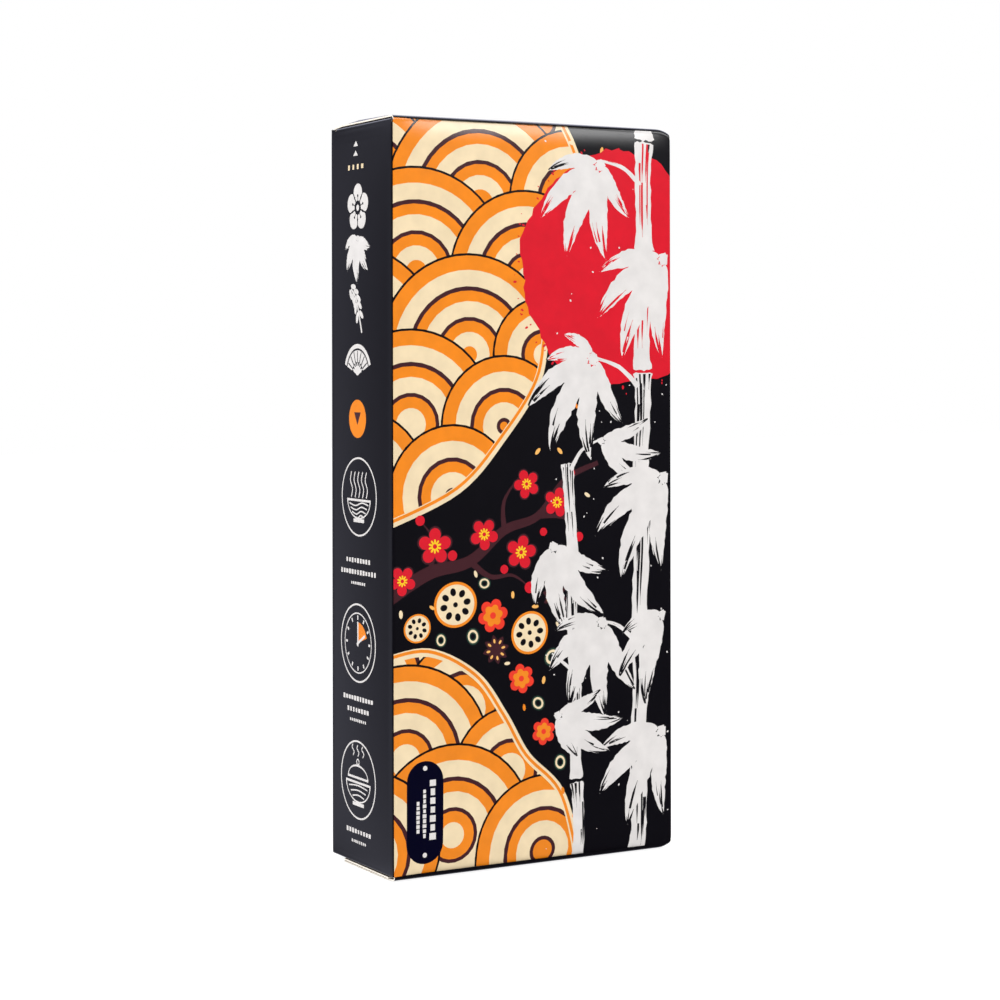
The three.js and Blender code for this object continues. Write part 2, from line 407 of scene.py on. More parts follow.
def arc(u, v, start, stop, steps, reach, rise=None):
    """Points along a round, from one angle in degrees to another."""
    angles = [radians(start + (stop - start) * k / steps) for k in range(steps + 1)]
    return [around(u, v, angle, reach, rise) for angle in angles]


def ellipse(u, v, radius, squash=1.0, tilt=0.0, sides=40):
    """Points round an ellipse. Squash is its second radius as a share of the first."""
    cosine, sine = cos(tilt), sin(tilt)
    points = []
    for i in range(sides):
        a, b = around(0, 0, WHOLE_TURN * i / sides, radius, radius * squash)
        points.append((u + a * cosine - b * sine, v + a * sine + b * cosine))
    return points


def rosette(u, v, radius, petals, depth, tilt=0.0, sides=60):
    """Points round a flower shape: depth is how far the notches between petals cut in."""
    points = []
    for i in range(sides):
        angle = WHOLE_TURN * i / sides
        reach = radius * (1 - depth * (1 - abs(cos(petals * angle / 2)) ** 0.7))
        points.append(around(u, v, angle + tilt, reach))
    return points


def smooth(line, steps=7):
    """A curve through the points of a line."""
    ends = [line[0], *line, line[-1]]
    curve = []
    for i in range(1, len(ends) - 2):
        p, q, r, s = ends[i - 1 : i + 3]
        for k in range(steps):
            t = k / steps
            weights = (
                (-(t**3) + 2 * t**2 - t) / 2,
                (3 * t**3 - 5 * t**2 + 2) / 2,
                (-3 * t**3 + 4 * t**2 + t) / 2,
                (t**3 - t**2) / 2,
            )
            curve.append(tuple(sum(w * at[n] for w, at in zip(weights, (p, q, r, s))) for n in (0, 1)))
    return [*curve, line[-1]]


def sideways(curve):
    """For each point of a curve, its place, a unit step to its left, and its share of the way."""
    found = []
    for i, (u, v) in enumerate(curve):
        before = curve[max(i - 1, 0)]
        after = curve[min(i + 1, len(curve) - 1)]
        du, dv = after[0] - before[0], after[1] - before[1]
        size = hypot(du, dv) or 1
        found.append((u, v, -dv / size, du / size, i / (len(curve) - 1)))
    return found


def even(share):
    """The same width all along."""
    return 1.0


def leaf_taper(share):
    """Widest before the middle, and pointed at both ends."""
    return sin(pi * share**0.8) ** 0.9


def spike_taper(share):
    """Widest at its start, and pointed at its end."""
    return (1 - share) ** 0.8


def stroke(line, width, taper=even, steps=7):
    """A line drawn as a strip, as wide at each place as taper says."""
    left, right = [], []
    for u, v, across_u, across_v, share in sideways(smooth(line, steps)):
        reach = max(width * taper(share) / 2, 0.04)
        left.append((u + across_u * reach, v + across_v * reach))
        right.append((u - across_u * reach, v - across_v * reach))
    return left + right[::-1]


def bar(ink, start, end, width):
    """Paints a straight line."""
    paint(ink, stroke([start, end], width, steps=1))


def ground_at(u, v):
    """The ink that a dry brush leaves bare at a point: the sun's red inside it, black elsewhere."""
    return "red" if dist((u, v), SUN) < SUN_RADIUS else "black"


TEETH = 7


def brush(ink, line, width, taper=even, ragged=0.5, streaks=6, dryness=0.45):
    """A brush mark: uneven sides, torn ends, and dry streaks where the ground shows through."""
    places = sideways(smooth(line, 6))
    left, right = [], []
    for u, v, across_u, across_v, share in places:
        reach = max(width * taper(share) / 2, 0.1)
        up = reach * (1 + draws.uniform(-0.12, 0.07))
        down = reach * (1 + draws.uniform(-0.12, 0.07))
        left.append((u + across_u * up, v + across_v * up))
        right.append((u - across_u * down, v - across_v * down))
    torn = []
    for (a, b), ahead in (((left[-1], right[-1]), 1), ((right[0], left[0]), -1)):
        _, _, across_u, across_v, _ = places[-1 if ahead > 0 else 0]
        for k in range(1, TEETH):
            out = draws.uniform(0, ragged) * dist(a, b) * ahead
            along = k / TEETH
            torn.append((
                a[0] + (b[0] - a[0]) * along + across_v * out,
                a[1] + (b[1] - a[1]) * along - across_u * out,
            ))
    half = len(torn) // 2
    paint(ink, left + torn[:half] + right[::-1] + torn[half:])
    last = len(places) - 1
    for _ in range(streaks):
        offset = draws.uniform(-0.85, 0.85)
        start = draws.uniform(1 - dryness, 0.9)
        stop = start + draws.uniform(0.12, dryness * 0.8)
        thick = width * draws.uniform(0.025, 0.06)
        above, below = [], []
        wet_end = int(min(stop, 1) * last) + 1
        for u, v, across_u, across_v, share in places[int(start * last) : wet_end]:
            reach = width * taper(share) / 2 * offset
            grown = thick * clamp((share - start) / 0.1, 0.15)
            above.append((u + across_u * (reach + grown), v + across_v * (reach + grown)))
            below.append((u + across_u * (reach - grown), v + across_v * (reach - grown)))
        if len(above) > 1:
            paint(ground_at(*above[0]), above + below[::-1])


def fan(u, v, radius, rings):
    """A wave of rings, each an ink and its width, from the outside in."""
    for ink, width in rings:
        paint(ink, ellipse(u, v, radius, sides=max(22, int(radius * 1.7))))
        radius -= width
        if radius < 1:
            return


def blossom(u, v, radius, tilt=0.0):
    """A blossom of five petals, with its stamens as a yellow star."""
    paint("maroon", rosette(u, v, radius, 5, 0.42, tilt))
    paint("red", rosette(u, v, radius * 0.9, 5, 0.46, tilt))
    paint("yellow", rosette(u, v, radius * 0.36, 10, 0.55, tilt, 40))
    paint("red", ellipse(u, v, radius * 0.12, sides=12))


def root_slice(u, v, radius, tilt=0.0):
    """A slice across a lotus root, with its ring of holes."""
    paint("orange", ellipse(u, v, radius, 0.94, tilt))
    paint("cream", ellipse(u, v, radius * 0.88, 0.94, tilt))
    for i in range(8):
        angle = tilt + WHOLE_TURN * i / 8
        hole = around(u, v, angle, radius * 0.55, radius * 0.53)
        paint("black", ellipse(*hole, radius * 0.165, 0.8, angle, 18))
    paint("black", ellipse(u, v, radius * 0.11, sides=14))


def onion_ring(u, v, radius, tilt=0.0):
    """A slice of spring onion, in two layers."""
    for ink, share in (("green", 1.0), ("cream", 0.8), ("green", 0.52), ("black", 0.34)):
        paint(ink, ellipse(u, v, radius * share, 0.86, tilt, 28))


def carrot_flower(u, v, radius, tilt=0.0):
    """A slice of carrot cut to a flower."""
    paint("vermilion", rosette(u, v, radius, 6, 0.3, tilt))
    paint("orange", rosette(u, v, radius * 0.66, 6, 0.34, tilt, 42))
    paint("vermilion", ellipse(u, v, radius * 0.2, sides=16))


def star_seed(u, v, radius, tilt=0.0):
    """An eight-armed spice star, each arm with its seed."""
    for i in range(8):
        angle = tilt + WHOLE_TURN * i / 8
        paint("maroon", stroke([(u, v), around(u, v, angle, radius)], radius * 0.5, leaf_taper))
        paint("amber", ellipse(*around(u, v, angle, radius * 0.58), radius * 0.15, 0.55, angle, 12))


def seed(u, v, length, ink):
    """A seed, turned any way."""
    paint(ink, ellipse(u, v, length / 2, 0.5, draws.uniform(0, pi), 14))


# The front wall's print
# Broad waves in orange and cream fill the left of the wall in two swells. A branch of blossoms
# and cut vegetables lie in the dark between them. A red sun and white brushed bamboo fill the
# right, and a small dark plate with two eyelets sits in the lower left corner.
begin_panel(SHEET_LEFT, SHEET_LOW, SHEET_RIGHT, SHEET_HIGH)
begin_panel(0.0, BASE_FOLD + 0.1, WIDTH - 0.3, TOP_FOLD + 0.6)
WAVE_RINGS = [
    ("black", 0.7), ("orange", 4.4), ("cream", 5.0), ("maroon", 1.3), ("orange", 3.2),
    ("cream", 4.8), ("maroon", 1.2), ("orange", 3.4), ("cream", 4.4), ("orange", 40),
]
UPPER_WAVES = [
    (10, 226, 33), (50, 232, 28), (-12, 205, 31), (30, 204, 33), (62, 206, 22), (8, 183, 32),
    (46, 182, 27), (-14, 160, 31), (26, 158, 31), (52, 158, 18), (6, 137, 29), (38, 136, 22),
    (-12, 118, 24), (20, 115, 22),
]
LOWER_WAVES = [
    (-8, 60, 28), (24, 50, 22), (4, 36, 29), (40, 30, 20), (20, 12, 28), (-10, 8, 26), (52, 4, 24),
]
UPPER_SHORE = [(57, 236), (66, 214), (63, 190), (54, 168), (50, 150), (38, 133), (22, 117), (-4, 106)]
LOWER_SHORE = [(-4, 66), (12, 68), (28, 60), (38, 47), (46, 34), (58, 22), (64, 4), (66, -8)]
for wave in UPPER_WAVES + LOWER_WAVES:
    fan(*wave, WAVE_RINGS)
paint("black", [*smooth(UPPER_SHORE), *smooth(LOWER_SHORE), (WIDTH, -8), (WIDTH, 236)])
for shore in (UPPER_SHORE[::-1], LOWER_SHORE):
    paint("cream", stroke(shore, 2.6))
    paint("orange", stroke([(u - 0.4, v + 0.4) for u, v in shore], 1.0))

branch = [(-3, 84), (12, 92), (26, 95), (38, 104), (50, 108), (60, 119), (72, 124)]
paint("maroon", stroke(branch, 4.2, lambda share: 1.1 - 0.75 * share))
for line, width in (
    ([(26, 95), (33, 90), (41, 90), (47, 86)], 2.2),
    ([(38, 104), (38, 113), (44, 121)], 2.0),
    ([(12, 92), (14, 101), (9, 108)], 1.8),
    ([(50, 108), (60, 107), (66, 101)], 1.8),
):
    paint("maroon", stroke(line, width, spike_taper))
for u, v, radius, tilt in (
    (14, 100, 6.2, 0.3), (31, 103, 5.4, 1.0), (44, 97, 5.8, 0.1), (46, 118, 5.0, 0.7),
    (57, 112, 5.2, 1.3), (3, 90, 5.0, 0.9),
):
    blossom(u, v, radius, tilt)
for u, v, radius in (
    (20, 97, 1.6), (38, 92, 1.4), (47, 86, 1.8), (52, 103, 1.3), (9, 108, 1.6), (65, 101, 1.5),
    (62, 121, 1.5),
):
    paint("red", ellipse(u, v, radius, sides=16))

root_slice(21, 82, 7.4, 0.2)
root_slice(47, 72, 6.8, 0.9)
root_slice(8, 75.5, 4.6, 0.5)
carrot_flower(34, 78, 5.2, 0.2)
carrot_flower(44, 58, 4.6, 0.7)
carrot_flower(52, 41, 4.2, 0.4)
star_seed(35, 67.5, 4.6, 0.2)
star_seed(56, 83, 4.4, 0.5)
for u, v, radius in (
    (27, 72, 2.6), (55, 64, 3.0), (50, 50, 2.5), (58, 31, 2.6), (54, 94, 2.4), (31, 88, 2.2),
    (16, 71.5, 2.2),
):
    onion_ring(u, v, radius, 0.3 * u)
for u, v in (
    (28, 91), (41, 84), (39, 63), (57, 74), (49, 80), (45, 49), (52, 57), (60, 46), (59, 22),
    (63, 14), (13, 81.5), (2.5, 80), (61, 97), (68, 114), (58, 128), (50, 128), (56, 138),
    (64, 142), (62, 152), (64, 168), (70, 200), (69, 215), (63, 224), (74, 222),
):
    seed(u, v, draws.uniform(1.8, 2.6), draws.choice(["amber", "cream", "orange"]))

SUN_POINTS = 110
SPLASHES = 46
sun = []
for i in range(SUN_POINTS):
    angle = WHOLE_TURN * i / SUN_POINTS
    rough = draws.uniform(-0.7, 0.5) + 0.8 * sin(5 * angle) + 0.5 * sin(11 * angle + 1)
    sun.append(around(*SUN, angle, SUN_RADIUS + rough))
paint("red", sun)
for _ in range(SPLASHES):
    angle = draws.uniform(pi * 0.45, pi * 1.75)
    reach = SUN_RADIUS + draws.uniform(0.4, 3.2)
    spot = draws.uniform(0.2, 0.7)
    paint("red", ellipse(*around(*SUN, angle, reach), spot, 0.6, angle, 8))


def stalk(foot, lean, lengths, width):
    """A bamboo stalk of brushed segments, each a little wider at its ends."""
    v = foot[1]
    for length in lengths:
        line = []
        for share in (0, 0.3, 0.7, 1):
            up = v + length * share
            line.append((foot[0] + lean * (up - foot[1]) + 0.35 * sin(up / 7), up))
        brush("white", line, width, lambda share: 0.8 + 0.22 * abs(2 * share - 1) ** 3, 0.12, 9, 0.8)
        v += length + 1.6


def spray(u, v, leaves):
    """A spray of brushed bamboo leaves: each has an angle in degrees, a length and a width."""
    for degrees, length, width in leaves:
        angle = radians(degrees)
        line = []
        for share, bend in ((0.1, 0), (0.32, 0.04), (0.58, 0.06), (0.82, 0.03), (1, -0.02)):
            straight = around(u, v, angle, share * length)
            line.append(around(*straight, angle - QUARTER, bend * length))
        bar("white", (u, v), line[0], width * 0.2)
        brush("white", line, width, leaf_taper, 0.6, 6, 0.5)


stalk((87, -2), 0.012, [30, 37, 42, 40, 36, 34, 20], 7.4)
stalk((65, -2), -0.03, [26, 32, 33, 30], 5.0)
for line, width in (
    ([(88, 212), (82, 217), (74, 219)], 1.5),
    ([(89, 178), (94, 184), (98, 186)], 1.5),
    ([(87, 148), (80, 154), (71, 157)], 1.6),
    ([(88, 110), (93, 114), (98, 119)], 1.4),
    ([(62, 122), (66, 128), (72, 131)], 1.3),
    ([(63, 90), (59, 96), (55, 99)], 1.3),
    ([(87, 66), (80, 72), (74, 74)], 1.5),
    ([(64, 58), (59, 62), (55, 65)], 1.2),
    ([(87, 30), (93, 36), (97, 38)], 1.3),
):
    brush("white", line, width, lambda share: 1.2 - 0.7 * share, 0.3, 1)
spray(74, 219, [(-171, 20, 4.6), (-142, 29, 6.6), (-115, 33, 7.4), (-89, 31, 6.8), (-62, 20, 4.8)])
spray(98, 190, [(-168, 26, 5.6), (-143, 33, 7.2), (-118, 37, 7.8), (-94, 33, 6.6)])
spray(71, 158, [
    (-176, 18, 4.4), (-148, 29, 6.6), (-120, 34, 7.6), (-94, 33, 7.0), (-66, 24, 5.4), (150, 13, 3.6),
])
spray(72, 131, [(-40, 19, 4.8), (-12, 24, 5.4), (18, 20, 4.4)])
spray(98, 120, [(-172, 24, 5.4), (-146, 33, 7.2), (-119, 37, 8.0), (-95, 31, 6.4)])
spray(55, 99.5, [(-108, 20, 5.2), (-80, 28, 6.6), (-52, 30, 6.8), (-26, 23, 5.2)])
spray(74, 75, [(-172, 18, 4.6), (-144, 25, 6.2), (-116, 30, 7.2), (-90, 31, 6.8), (-64, 26, 5.8)])
spray(97, 76, [(-160, 17, 4.6), (-132, 26, 6.2), (-105, 30, 6.8)])
spray(97, 39, [(-170, 24, 5.6), (-143, 31, 7.0), (-116, 33, 7.2), (-92, 28, 5.8)])
spray(56, 46, [(-60, 16, 4.4), (-34, 24, 5.8), (-8, 25, 5.6), (20, 18, 4.2)])
SPECKS = 70
for _ in range(SPECKS):
    at = (draws.uniform(50, 99), draws.uniform(3, 226))
    paint("white", ellipse(*at, draws.uniform(0.15, 0.42), 0.7, draws.uniform(0, 3), 7))


def pill(u, low, high, radius):
    """A plate with round ends."""
    top = arc(u, high, 0, 180, 14, radius)
    return top + [(2 * u - a, high + low - b) for a, b in top]


def marks(u, v, length, size, pitch, upright=False, ink="white"):
    """A row of small plain marks, no two quite the same size, about the middle of a place."""
    count = int(length / pitch)
    for k in range(count):
        off = (k - (count - 1) / 2) * pitch
        at = (u, v - off) if upright else (u + off, v)
        wide = size * draws.uniform(0.32, 0.5)
        tall = size * draws.uniform(0.4, 0.5)
        paint(ink, rectangle(at[0] - wide, at[1] - tall, at[0] + wide, at[1] + tall))


# The dark plate, its two eyelets, and three upright rows of marks.
PLATE = 10.6
paint("navy", pill(PLATE, 10.4, 29.2, 6.2))
for v in (6.9, 33.2):
    paint("white", ellipse(PLATE, v, 0.75, sides=16))
marks(13.2, 20.5, 20, 2.3, 2.7, upright=True)
marks(10.4, 19.5, 16, 1.3, 1.5, upright=True)
marks(8.2, 18.5, 10, 1.2, 1.4, upright=True)

# The left side wall's print
# Two small triangles, a row of marks and four white ornaments run down from the top. Below them are
# an orange disc with a triangle, and three white roundels, each with rows of marks under it.
begin_panel(1 - DEPTH, 3, -1, HEIGHT - 3)
MIDDLE = -22.5


def triangle(u, v, half, tall):
    """A triangle over the middle of its base, or under it where tall is less than 0."""
    return [(u - half, v), (u + half, v), (u, v + tall)]


def ring(ink, u, v, radius, width, sides=48):
    """A ring of ink round a black middle."""
    paint(ink, ellipse(u, v, radius, sides=sides))
    paint("black", ellipse(u, v, radius - width, sides=sides))


for v in (222.3, 219.4):
    paint("white", triangle(MIDDLE - 2.6, v, 1.6, 1.6))
marks(MIDDLE - 2.5, 216.0, 13, 1.6, 3.1, ink="cream")


def open_blossom(u, v, radius, tilt=0.31):
    """A flower seen from the front, with parted petals and a ring of stamens."""
    paint("white", rosette(u, v, radius, 5, 0.34, tilt, 80))
    for k in range(5):
        bar("black", (u, v), around(u, v, tilt + WHOLE_TURN * (k + 0.5) / 5, radius * 0.8), 0.5)
    paint("black", ellipse(u, v, radius * 0.3, sides=24))
    for k in range(10):
        tip = around(u, v, tilt + WHOLE_TURN * k / 10, radius * 0.5)
        bar("black", (u, v), tip, 0.3)
        paint("black", ellipse(*tip, radius * 0.06, sides=10))
    paint("white", ellipse(u, v, radius * 0.13, sides=16))


def grain_ear(u, v, tall):
    """An ear of grain that leans over, with its grains in pairs along the stem."""
    stem = [(u + 3.0, v - tall / 2), (u + 0.6, v), (u - 1.2, v + tall * 0.3), (u - 4.4, v + tall / 2)]
    brush("white", stem, 0.8, even, 0.2, 0)
    for along_u, along_v, across_u, across_v, _ in sideways(smooth(stem, 4))[3::2]:
        angle = atan2(-across_u, across_v)
        for side in (-1, 1):
            grain = (along_u + side * 1.5 * across_u, along_v + side * 1.5 * across_v)
            paint("white", ellipse(*grain, 1.75, 0.46, angle - side * 0.5, 18))


def folding_fan(u, v, radius):
    """An open folding fan: its leaf with a band of black, and its ribs."""
    for ink, outer, inner in (("white", 1.0, 0.42), ("black", 0.86, 0.8), ("white", 0.3, 0.0)):
        edge = arc(u, v, 20, 160, 14, radius * outer)
        paint(ink, edge + arc(u, v, 160, 20, 14, radius * inner))
    for degrees in range(30, 160, 20):
        angle = radians(degrees)
        start = around(u, v, angle, radius * 0.4)
        bar("black", start, around(u, v, angle, radius * 0.78), 0.45)
        bar("white", (u, v), start, 0.5)


open_blossom(MIDDLE - 0.7, 203.4, 7.4)
spray(MIDDLE - 0.6, 194.6, [
    (-158, 9.5, 3.4), (-126, 13, 4.4), (-92, 14.5, 4.8), (-58, 13, 4.4), (-24, 9.5, 3.4),
])
grain_ear(MIDDLE - 0.7, 171.6, 13.5)
folding_fan(MIDDLE - 0.7, 151.8, 9.6)

paint("orange", ellipse(MIDDLE - 0.8, 138.3, 5.9))
paint("maroon", triangle(MIDDLE - 0.8, 140.3, 2.3, -3.9))


def bowl(u, v, half, depth):
    """A bowl seen from the side, drawn in white."""
    paint("white", arc(u, v, 0, 180, 20, half, -depth))
    paint("black", arc(u, v - 0.7, 0, 180, 20, half - 0.7, 1.2 - depth))
    paint("white", rectangle(u - half * 0.45, v - depth - 1.0, u + half * 0.45, v - depth + 0.1))


# The first roundel holds a bowl with wavy strands, the second a dial with two hands, the third a
# covered bowl with steam.
DIAL = (MIDDLE - 0.8, 69.2)
COVERED = MIDDLE - 1.2
for middle in ((MIDDLE, 114.3), DIAL, (COVERED, 26.9)):
    ring("white", *middle, 12.2, 0.55, sides=64)

RIPPLE = ((-1, 0), (-1 / 3, -0.7), (1 / 3, 0.3), (1, -0.3))
bowl(MIDDLE, 113.6, 8.2, 6.2)
for k in range(5):
    u = MIDDLE - 5.2 + 2.6 * k
    strand = [(u, 114.0), (u + 0.8, 116.6), (u - 0.7, 119.4), (u + 0.2, 122.0)]
    paint("white", stroke(strand, 0.5, steps=4))
for k in range(4):
    v = 112.2 - 1.3 * k
    reach = 6.6 - 0.95 * k
    ripple = [(MIDDLE + share * reach, v + up) for share, up in RIPPLE]
    paint("white", stroke(ripple, 0.42, steps=4))

ring("white", *DIAL, 9.4, 0.4)
for k in range(12):
    angle = WHOLE_TURN * k / 12
    bar("white", around(*DIAL, angle, 7.2), around(*DIAL, angle, 8.5), 0.7)
paint("orange", [DIAL, *arc(*DIAL, 90, 18, 12, 6.4)])
bar("white", (MIDDLE - 0.8, 68.2), (MIDDLE - 0.8, 75.8), 0.8)
bar("white", (MIDDLE - 1.6, 68.7), (MIDDLE + 4.0, 71.8), 0.8)

bowl(COVERED, 26.4, 8.6, 6.6)
paint("white", arc(COVERED, 27.2, 0, 180, 20, 7.2, 4.4))
paint("black", arc(COVERED, 27.9, 0, 180, 20, 6.5, 3.1))
ring("white", COVERED, 32.4, 1.1, 0.45, sides=18)
for k in (-1, 0, 1):
    u = COVERED + 3.4 * k
    paint("white", stroke([(u, 34.2), (u + 0.8, 35.4), (u - 0.6, 36.6), (u, 37.6)], 0.45, steps=4))
for k in range(3):
    v = 24.6 - 1.5 * k
    reach = 6.4 - 1.2 * k
    ripple = [(COVERED - reach, v), (COVERED, v + 0.6), (COVERED + reach, v)]
    paint("white", stroke(ripple, 0.42, steps=4))

for u, rows in (
    (MIDDLE - 0.6, ((94.6, 18.5, 1.5), (91.0, 25.0, 1.5), (87.6, 11.0, 1.0))),
    (MIDDLE - 1.0, ((52.0, 23.0, 1.5), (48.4, 16.0, 1.5), (45.2, 12.5, 1.0))),
    (MIDDLE - 1.4, ((10.8, 17.5, 1.5), (7.6, 11.0, 1.0))),
):
    for v, length, size in rows:
        marks(u, v, length, size, size * 1.28)

# The right side wall's print
# A framed table of short bars fills most of this wall. A small red sun stands above it, and a bank
# of small waves lies below it, in the front wall's inks.
RIGHT = WIDTH + DEPTH / 2
SMALL_RINGS = [
    ("black", 0.4), ("orange", 1.7), ("cream", 1.7), ("maroon", 0.9), ("cream", 1.5), ("orange", 9),
]


def border(left, bottom, right, top, width):
    """A fine frame round a black field."""
    paint("amber", rectangle(left, bottom, right, top))
    paint("black", rectangle(left + width, bottom + width, right - width, top - width))


def wave_bank(left, top, count, pitch, drop, radius, rings):
    """Four rows of waves, where every other row is half a wave further along."""
    for row in range(4):
        for k in range(count):
            fan(left + pitch * (k + 0.5 * (row % 2)), top - drop * row, radius, rings)


begin_panel(WIDTH + 2.5, 4, WIDTH + DEPTH - 3, HEIGHT - 3)
border(RIGHT - 16.5, 60, RIGHT + 16.5, 208, 0.4)
for row in range(14):
    v = 200 - 9.8 * row
    paint("amber", rectangle(RIGHT - 16.3, v - 5.1, RIGHT + 16.3, v - 4.85))
    paint("white", rectangle(RIGHT - 13.5, v - 0.6, RIGHT - 13.5 + draws.uniform(5, 11), v + 0.6))
    paint("white", rectangle(RIGHT + 4, v - 0.6, RIGHT + 4 + draws.uniform(4, 9), v + 0.6))
paint("red", ellipse(RIGHT, 219, 4.2))
wave_bank(WIDTH - 9, 44, 7, 9, 9, 9, SMALL_RINGS)

# The back wall's print
# The back is plainer than the front. A sprig of brushed bamboo crosses a red sun at the top, with a
# framed field of bars below it and a bank of waves along the bottom.
BACK = -DEPTH - WIDTH / 2
BACK_RINGS = [
    ("black", 0.6), ("orange", 3.0), ("cream", 3.4), ("maroon", 1.2), ("orange", 2.4),
    ("cream", 3.2), ("orange", 20),
]
begin_panel(BACK - WIDTH / 2 + 3, 4, BACK + WIDTH / 2 - 3, HEIGHT - 4)
wave_bank(BACK - WIDTH / 2 + 2, 52, 6, 19.5, 13, 17, BACK_RINGS)
paint("red", ellipse(BACK, 196, 17, sides=64))
twig = [(BACK - 3, 176), (BACK - 1, 196), (BACK + 2, 222)]
brush("white", twig, 3.2, lambda share: 0.8 + 0.2 * abs(2 * share - 1), 0.05, 4)
for degrees, up, length in (
    (205, 212, 22), (235, 209, 24), (-20, 203, 22), (-50, 200, 25), (200, 192, 20), (232, 190, 22),
):
    angle = radians(degrees)
    foot = (BACK + 0.4, up)
    bend = [at + 1 for at in around(*foot, angle, length / 2)]
    brush("white", [foot, bend, around(*foot, angle, length)], 5.0, leaf_taper, 0.12, 5)
border(BACK - 40, 82, BACK + 40, 166, 0.5)
for row in range(11):
    v = 158.5 - 6.9 * row
    length = draws.uniform(40, 72) if row % 4 else 30
    ink = "white" if row % 4 else "orange"
    paint(ink, rectangle(BACK - 36, v - 0.75, BACK - 36 + length, v + 0.75))

# The lid flap's and the base's print
# The lid flap carries one roundel between two fine lines, with two blossoms and a triangle on each
# side of it. The flaps of the base have no print on their black.
LID_MIDDLE = LID_START + (DEPTH - LID_ROLL) / 2
LID_RINGS = [
    ("orange", 2.0), ("cream", 2.2), ("maroon", 0.9), ("orange", 1.8), ("cream", 1.5), ("maroon", 4),
]
begin_panel(2, LID_START, WIDTH - 2, TUCK_FOLD)
for v in (LID_START + 3, LID_START + DEPTH - LID_ROLL - 4.5):
    paint("orange", rectangle(6, v, WIDTH - 6, v + 0.7))
ring("amber", HALF_W, LID_MIDDLE, 11, 0.6, sides=56)
fan(HALF_W, LID_MIDDLE, 9.6, LID_RINGS)
for side in (-1, 1):
    for k in (0, 1):
        blossom(HALF_W + side * (19 + 8 * k), LID_MIDDLE, 2.8 - 0.6 * k, 0.4 * k)
    foot = HALF_W + side * 38
    tip = (foot + side * 2.8, LID_MIDDLE)
    paint("orange", [(foot, LID_MIDDLE - 1.6), (foot, LID_MIDDLE + 1.6), tip])

# The folded sheet
# The outline, the shapes of ink and lines along every fold are cut into triangles together, so
# that each triangle is one ink, and then each corner goes to its place on the folded carton. The
# inner face lies one board's thickness under the printed one, and raw edges join the two.
FOLD_LINES = (-1.8, -1.2, -0.8, -0.55, -0.25, 0.0, 0.25, 0.55, 0.8, 1.2, 1.8)
JOIN_GAP = 0.002
GRID = 9
ROUND_STEPS = 6


def upright(u):
    """A line up the whole sheet."""
    return [(u, SHEET_LOW), (u, SHEET_HIGH)]


def crease_lines():
    """The lines that the triangles must follow for the folds to come out round."""
    lines = [upright(fold + off) for fold in (-DEPTH, 0, WIDTH) for off in FOLD_LINES]
    folds = [
        (0, WIDTH, TOP_FOLD, LID_ROLL),
        (0, WIDTH, TUCK_FOLD, TUCK_ROLL),
        (0, WIDTH, BASE_FOLD, -BASE_ROLL),
        (TAB_FOLD, -DEPTH, BACK_BASE_FOLD, -BACK_ROLL),
    ]
    for start in (-DEPTH, WIDTH):
        folds.append((start, start + DEPTH, SIDE_TOP_FOLD, SIDE_ROLL))
        folds.append((start, start + DEPTH, SIDE_BASE_FOLD, -SIDE_ROLL))
    for step in range(ROUND_STEPS + 1):
        share = step / ROUND_STEPS
        lines.append(upright(TAB_FOLD - share * QUARTER * BOARD))
        for left, right, fold, radius in folds:
            v = fold + share * QUARTER * radius
            lines.append([(left, v), (right, v)])
    for low, high in ((BASE_FOLD + 0.5, BASE_FOLD + 6), (TOP_FOLD - 6, TOP_FOLD - 0.5)):
        for step in range(5):
            v = low + (high - low) * step / 4
            lines.append([(TAB_FOLD, v), (WIDTH + DEPTH, v)])
    for bulge in (1.5, 3.0, 5.0, BULGE_REACH):
        v = BASE_ROUND_END - bulge
        lines.append([(0, v), (WIDTH, v)])
    for off in (2.2, 3.5, 5.0):
        lines.append(upright(WIDTH - off))
        lines.append(upright(WIDTH + 1.6 * off))
    return lines


def inked_triangles():
    """The outline and the shapes of ink cut into flat triangles, with the ink of each."""
    corners, fields = [], []
    for points in [blank_outline(), *(points for _, _, points in shapes)]:
        fields.append(list(range(len(corners), len(corners) + len(points))))
        corners.extend(Vector(point) for point in points)
    flat, _, faces, _, _, sources = geometry.delaunay_2d_cdt(corners, [], fields, 1, JOIN_GAP)
    names = list(INKS)
    triangles, inks = [], []
    for face, source in zip(faces, sources):
        if 0 not in source:
            continue
        u, v = sum((flat[i] for i in face), Vector((0, 0))) / 3
        for number in sorted(source, reverse=True):
            ink, (left, bottom, right, top), _ = shapes[number - 1]
            if left < u < right and bottom < v < top:
                break
        triangles.append(face)
        inks.append(names.index(ink))
    return flat, triangles, inks


